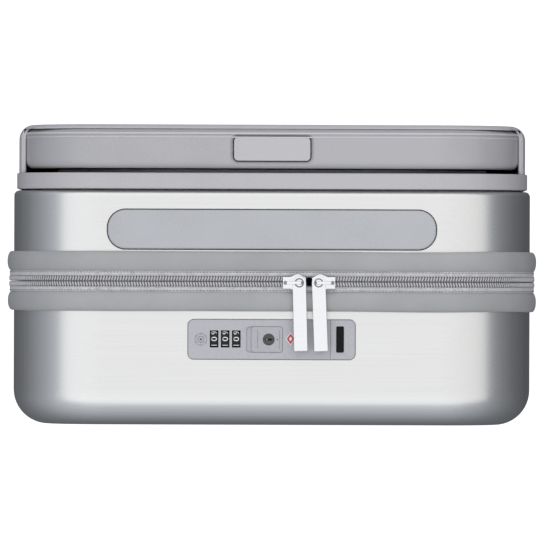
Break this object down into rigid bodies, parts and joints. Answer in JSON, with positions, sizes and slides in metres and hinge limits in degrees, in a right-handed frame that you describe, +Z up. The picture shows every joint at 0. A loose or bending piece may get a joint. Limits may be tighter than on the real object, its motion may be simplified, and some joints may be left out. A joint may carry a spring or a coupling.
{
  "type": "hard shell suitcase on wheels",
  "caption": "Upright hard shell cabin suitcase that opens at a zip, with a combination lock, carry handle, telescopic pull handle and swivelling casters.",
  "frame": {"origin": "on the floor, under the middle of the upright case", "axes": "+X across the case towards the lid's hinge, +Y towards the pull handle at the back, +Z up"},
  "size_m": [0.369, 0.208, 0.55],
  "materials": {
    "shell": "satin film, brushed in fine level lines",
    "edge_band": "soft matte",
    "zip_tape": "woven tape with a nylon coil",
    "lining": "smooth woven lining",
    "mesh": "open mesh",
    "strap": "woven webbing",
    "trim": "fine satin texture",
    "cover": "fine satin texture",
    "handle": "satin",
    "button": "satin",
    "lock": "satin",
    "dark_plastic": "matte",
    "dial": "gloss with pale numerals",
    "tube": "satin anodised",
    "steel": "satin",
    "pull": "polished",
    "caster": "matte",
    "hub": "satin",
    "tyre": "matte"
  },
  "bodies": {
    "rear_case": {"rear_shell": "shell", "rear_band": "edge_band", "rear_zip_tape": "zip_tape", "rear_lining": "lining", "straps_and_buckle": "strap", "rear_frame": "trim", "rear_cover": "cover", "rear_cover_screws": "steel", "outer_tubes": "tube", "outer_collars": "dark_plastic", "tube_foot_bracket": "dark_plastic", "carry_handle_tray": "dark_plastic", "carry_handle_springs": "steel", "rear_wheel_housings": "caster", "rear_swivel_pins": "steel"},
    "mid_stage": {"mid_tubes": "tube", "mid_collars": "dark_plastic"},
    "pull_handle": {"inner_tubes": "tube", "trolley_grip": "trim", "grip_cover": "trim", "button_springs": "steel"},
    "release": {"release_button": "button", "release_rods": "steel"},
    "top_handle": {"carry_handle": "handle"},
    "front_case": {"front_shell": "shell", "front_band": "edge_band", "front_zip_tape": "zip_tape", "front_lining": "lining", "front_pocket": "mesh", "lock_plate": "lock", "lock_case": "dark_plastic", "port_cap": "dark_plastic", "front_wheel_housings": "caster", "front_swivel_pins": "steel"},
    "dial_1": {"lock_dial_1": "dial"},
    "dial_2": {"lock_dial_2": "dial"},
    "dial_3": {"lock_dial_3": "dial"},
    "reset": {"lock_reset_button": "steel"},
    "slide": {"lock_slide": "lock"},
    "key": {"key_cylinder": "steel"},
    "slider_left": {"zip_slider_left": "pull"},
    "slider_right": {"zip_slider_right": "pull"},
    "pull_left": {"zip_pull_left": "pull"},
    "pull_right": {"zip_pull_right": "pull"},
    "fork_front_left": {"caster_fork_front_left": "caster"},
    "wheels_front_left": {"caster_axle_front_left": "steel", "wheel_hubs_front_left": "hub", "wheel_tyres_front_left": "tyre"},
    "fork_front_right": {"caster_fork_front_right": "caster"},
    "wheels_front_right": {"caster_axle_front_right": "steel", "wheel_hubs_front_right": "hub", "wheel_tyres_front_right": "tyre"},
    "fork_rear_left": {"caster_fork_rear_left": "caster"},
    "wheels_rear_left": {"caster_axle_rear_left": "steel", "wheel_hubs_rear_left": "hub", "wheel_tyres_rear_left": "tyre"},
    "fork_rear_right": {"caster_fork_rear_right": "caster"},
    "wheels_rear_right": {"caster_axle_rear_right": "steel", "wheel_hubs_rear_right": "hub", "wheel_tyres_rear_right": "tyre"}
  },
  "joints": [
    {"name": "lid_open", "type": "hinge", "parent": "rear_case", "child": "front_case", "pos_m": [0.185, -0.00455, 0.302], "axis": [0, 0, 1], "range_deg": [0, 180]},
    {"name": "handle_stage_1", "type": "slide", "parent": "rear_case", "child": "mid_stage", "axis": [0, 0, 1], "range_m": [0, 0.2]},
    {"name": "handle_stage_2", "type": "slide", "parent": "mid_stage", "child": "pull_handle", "axis": [0, 0, 1], "range_m": [0, 0.2]},
    {"name": "release_press", "type": "slide", "parent": "pull_handle", "child": "release", "axis": [0, 0, -1], "range_m": [0, 0.003], "stiffness_N_per_m": 900, "springref_m": -0.004, "deforming": ["button_springs"]},
    {"name": "top_handle_lift", "type": "slide", "parent": "rear_case", "child": "top_handle", "axis": [0, 0, 1], "range_m": [0, 0.026], "stiffness_N_per_m": 250, "springref_m": -0.012, "deforming": ["carry_handle_springs"]},
    {"name": "dial_1_turn", "type": "hinge", "parent": "front_case", "child": "dial_1", "pos_m": [-0.0397, -0.0443, 0.5351], "axis": [1, 0, 0], "continuous": true},
    {"name": "dial_2_turn", "type": "hinge", "parent": "front_case", "child": "dial_2", "pos_m": [-0.03205, -0.0443, 0.5351], "axis": [1, 0, 0], "continuous": true},
    {"name": "dial_3_turn", "type": "hinge", "parent": "front_case", "child": "dial_3", "pos_m": [-0.0244, -0.0443, 0.5351], "axis": [1, 0, 0], "continuous": true},
    {"name": "reset_press", "type": "slide", "parent": "front_case", "child": "reset", "axis": [0, 0, -1], "range_m": [0, 0.0015], "stiffness_N_per_m": 300, "springref_m": -0.001},
    {"name": "lock_slide_move", "type": "slide", "parent": "front_case", "child": "slide", "axis": [-1, 0, 0], "range_m": [0, 0.0035], "stiffness_N_per_m": 300, "springref_m": -0.002},
    {"name": "key_turn", "type": "hinge", "parent": "slide", "child": "key", "pos_m": [-0.002, -0.0446, 0.537], "axis": [0, 0, 1], "range_deg": [0, 90]},
    {"name": "zip_left_run", "type": "slide", "parent": "front_case", "child": "slider_left", "axis": [-1, 0, 0], "range_m": [0, 0.12]},
    {"name": "zip_right_run", "type": "slide", "parent": "front_case", "child": "slider_right", "axis": [1, 0, 0], "range_m": [0, 0.07]},
    {"name": "pull_left_swing", "type": "hinge", "parent": "slider_left", "child": "pull_left", "pos_m": [0.019, -0.00535, 0.5473], "axis": [0, 0, 1], "range_deg": [-35, 0]},
    {"name": "pull_right_swing", "type": "hinge", "parent": "slider_right", "child": "pull_right", "pos_m": [0.0324, -0.00535, 0.5473], "axis": [0, 0, 1], "range_deg": [0, 35]},
    {"name": "swivel_front_left", "type": "hinge", "parent": "front_case", "child": "fork_front_left", "pos_m": [-0.13, -0.058, 0.0546], "axis": [0, 0, 1], "continuous": true},
    {"name": "roll_front_left", "type": "hinge", "parent": "fork_front_left", "child": "wheels_front_left", "pos_m": [-0.13, -0.038, 0.025], "axis": [1, 0, 0], "continuous": true},
    {"name": "swivel_front_right", "type": "hinge", "parent": "front_case", "child": "fork_front_right", "pos_m": [0.13, -0.058, 0.0546], "axis": [0, 0, 1], "continuous": true},
    {"name": "roll_front_right", "type": "hinge", "parent": "fork_front_right", "child": "wheels_front_right", "pos_m": [0.13, -0.038, 0.025], "axis": [1, 0, 0], "continuous": true},
    {"name": "swivel_rear_left", "type": "hinge", "parent": "rear_case", "child": "fork_rear_left", "pos_m": [-0.13, 0.052, 0.0546], "axis": [0, 0, 1], "continuous": true},
    {"name": "roll_rear_left", "type": "hinge", "parent": "fork_rear_left", "child": "wheels_rear_left", "pos_m": [-0.13, 0.072, 0.025], "axis": [1, 0, 0], "continuous": true},
    {"name": "swivel_rear_right", "type": "hinge", "parent": "rear_case", "child": "fork_rear_right", "pos_m": [0.13, 0.052, 0.0546], "axis": [0, 0, 1], "continuous": true},
    {"name": "roll_rear_right", "type": "hinge", "parent": "fork_rear_right", "child": "wheels_rear_right", "pos_m": [0.13, 0.072, 0.025], "axis": [1, 0, 0], "continuous": true}
  ]
}
